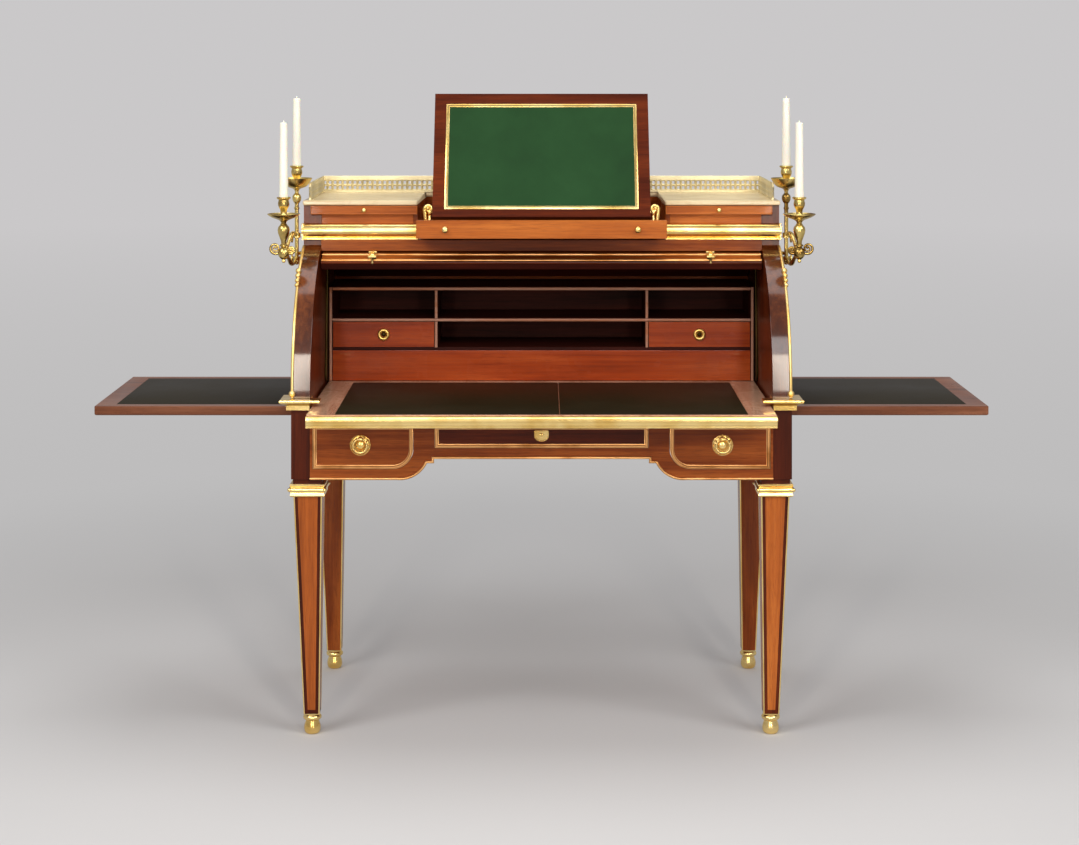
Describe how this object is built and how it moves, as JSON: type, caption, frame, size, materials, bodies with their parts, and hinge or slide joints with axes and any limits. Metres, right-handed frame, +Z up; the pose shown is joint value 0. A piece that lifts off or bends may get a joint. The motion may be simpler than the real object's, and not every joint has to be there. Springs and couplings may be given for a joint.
{
  "type": "cylinder desk",
  "caption": "Mahogany cylinder desk on tapering legs with gilt mounts, pull-out writing slide and side leaves, drawers, tilting reading stand and swivelling candle arms.",
  "frame": {"origin": "on the floor under the middle of the desk's box, with the writing slide drawn out", "axes": "+X along the width to the writer's right, -Y towards the writer, +Z up"},
  "size_m": [2.11, 0.761, 1.4992],
  "materials": {
    "mahogany": "polished",
    "inner_mahogany": "polished",
    "gilt_bronze": "burnished gilding",
    "dark_leather": "smooth",
    "green_leather": "smooth",
    "cream_marble": "polished marble",
    "candle_wax": "waxy"
  },
  "bodies": {
    "case": {"legs": "mahogany", "leg_feet": "gilt_bronze", "leg_collars": "gilt_bronze", "front_apron": "mahogany", "side_rails": "mahogany", "back_panel": "mahogany", "drawer_runners": "inner_mahogany", "slide_bed": "inner_mahogany", "side_upright_left": "mahogany", "side_upright_right": "mahogany", "upright_blocks": "gilt_bronze", "pigeonhole_uprights": "inner_mahogany", "pigeonhole_shelves": "inner_mahogany", "pigeonhole_panels": "inner_mahogany", "upper_floor": "inner_mahogany", "bay_carcase": "inner_mahogany", "upper_carcase": "inner_mahogany", "top_boards": "cream_marble", "cornice": "gilt_bronze", "gallery": "gilt_bronze", "candle_stems": "gilt_bronze", "upper_candles": "candle_wax"},
    "writing_slide": {"slide_board": "mahogany", "slide_leather": "dark_leather", "slide_lip": "gilt_bronze"},
    "cylinder": {"cylinder_panel": "mahogany", "cylinder_lines": "gilt_bronze", "cylinder_pulls": "gilt_bronze", "cylinder_arms": "gilt_bronze"},
    "leaf_left": {"leaf_left": "mahogany", "leaf_leather_left": "dark_leather"},
    "leaf_right": {"leaf_right": "mahogany", "leaf_leather_right": "dark_leather"},
    "drawer_left": {"drawer_left": "mahogany", "rosette_left": "gilt_bronze"},
    "drawer_right": {"drawer_right": "mahogany", "rosette_right": "gilt_bronze"},
    "drawer_centre": {"drawer_centre": "mahogany", "keyhole_plate": "gilt_bronze"},
    "ring_left": {"ring_left": "gilt_bronze"},
    "ring_right": {"ring_right": "gilt_bronze"},
    "inner_drawer_left": {"inner_drawer_left": "inner_mahogany", "inner_pull_left": "gilt_bronze"},
    "inner_drawer_right": {"inner_drawer_right": "inner_mahogany", "inner_pull_right": "gilt_bronze"},
    "upper_drawer_left": {"upper_drawer_left": "mahogany", "upper_knob_left": "gilt_bronze"},
    "upper_drawer_right": {"upper_drawer_right": "mahogany", "upper_knob_right": "gilt_bronze"},
    "reading_tray": {"reading_tray": "mahogany", "tray_knobs": "gilt_bronze", "stand_brackets": "gilt_bronze"},
    "reading_stand": {"stand_frame": "mahogany", "stand_leather": "green_leather"},
    "stand_prop": {"stand_prop": "gilt_bronze"},
    "candle_arm_left": {"candle_arm_left": "gilt_bronze", "lower_candle_left": "candle_wax"},
    "candle_arm_right": {"candle_arm_right": "gilt_bronze", "lower_candle_right": "candle_wax"}
  },
  "joints": [
    {"name": "writing_slide_pull", "type": "slide", "parent": "case", "child": "writing_slide", "axis": [0, 1, 0], "range_m": [0, 0.13]},
    {"name": "cylinder_turn", "type": "hinge", "parent": "case", "child": "cylinder", "pos_m": [0, 0.1245, 0.79], "axis": [1, 0, 0], "range_deg": [0, 65.05]},
    {"name": "leaf_left_pull", "type": "slide", "parent": "case", "child": "leaf_left", "axis": [1, 0, 0], "range_m": [0, 0.47]},
    {"name": "leaf_right_pull", "type": "slide", "parent": "case", "child": "leaf_right", "axis": [-1, 0, 0], "range_m": [0, 0.47]},
    {"name": "drawer_left_pull", "type": "slide", "parent": "case", "child": "drawer_left", "axis": [0, -1, 0], "range_m": [0, 0.36]},
    {"name": "drawer_centre_pull", "type": "slide", "parent": "case", "child": "drawer_centre", "axis": [0, -1, 0], "range_m": [0, 0.36]},
    {"name": "drawer_right_pull", "type": "slide", "parent": "case", "child": "drawer_right", "axis": [0, -1, 0], "range_m": [0, 0.36]},
    {"name": "ring_left_lift", "type": "hinge", "parent": "drawer_left", "child": "ring_left", "pos_m": [-0.4229, -0.2485, 0.69936], "axis": [-1, 0, 0], "range_deg": [0, 85]},
    {"name": "ring_right_lift", "type": "hinge", "parent": "drawer_right", "child": "ring_right", "pos_m": [0.4229, -0.2485, 0.69936], "axis": [-1, 0, 0], "range_deg": [0, 85]},
    {"name": "inner_drawer_left_pull", "type": "slide", "parent": "case", "child": "inner_drawer_left", "axis": [0, -1, 0], "range_m": [0, 0.13]},
    {"name": "inner_drawer_right_pull", "type": "slide", "parent": "case", "child": "inner_drawer_right", "axis": [0, -1, 0], "range_m": [0, 0.13]},
    {"name": "upper_drawer_left_pull", "type": "slide", "parent": "case", "child": "upper_drawer_left", "axis": [0, -1, 0], "range_m": [0, 0.22]},
    {"name": "upper_drawer_right_pull", "type": "slide", "parent": "case", "child": "upper_drawer_right", "axis": [0, -1, 0], "range_m": [0, 0.22]},
    {"name": "reading_tray_pull", "type": "slide", "parent": "case", "child": "reading_tray", "axis": [0, 1, 0], "range_m": [0, 0.095]},
    {"name": "reading_stand_tilt", "type": "hinge", "parent": "reading_tray", "child": "reading_stand", "pos_m": [0, -0.0555, 1.2144], "axis": [-1, 0, 0], "range_deg": [0, 63]},
    {"name": "stand_prop_fold", "type": "hinge", "parent": "reading_stand", "child": "stand_prop", "pos_m": [0, 0.01593, 1.32154], "axis": [1, 0, 0], "range_deg": [0, 123.1]},
    {"name": "candle_arm_left_swing", "type": "hinge", "parent": "case", "child": "candle_arm_left", "pos_m": [-0.602, 0.0265, 1.12], "axis": [0, 0, -1], "range_deg": [0, 70]},
    {"name": "candle_arm_right_swing", "type": "hinge", "parent": "case", "child": "candle_arm_right", "pos_m": [0.602, 0.0265, 1.12], "axis": [0, 0, 1], "range_deg": [0, 70]}
  ],
  "couplings": [
    {"joint": "cylinder_turn", "follows": "writing_slide_pull", "rad_per_m": 8.7322},
    {"joint": "stand_prop_fold", "follows": "reading_stand_tilt", "ratio": 1.9524}
  ]
}
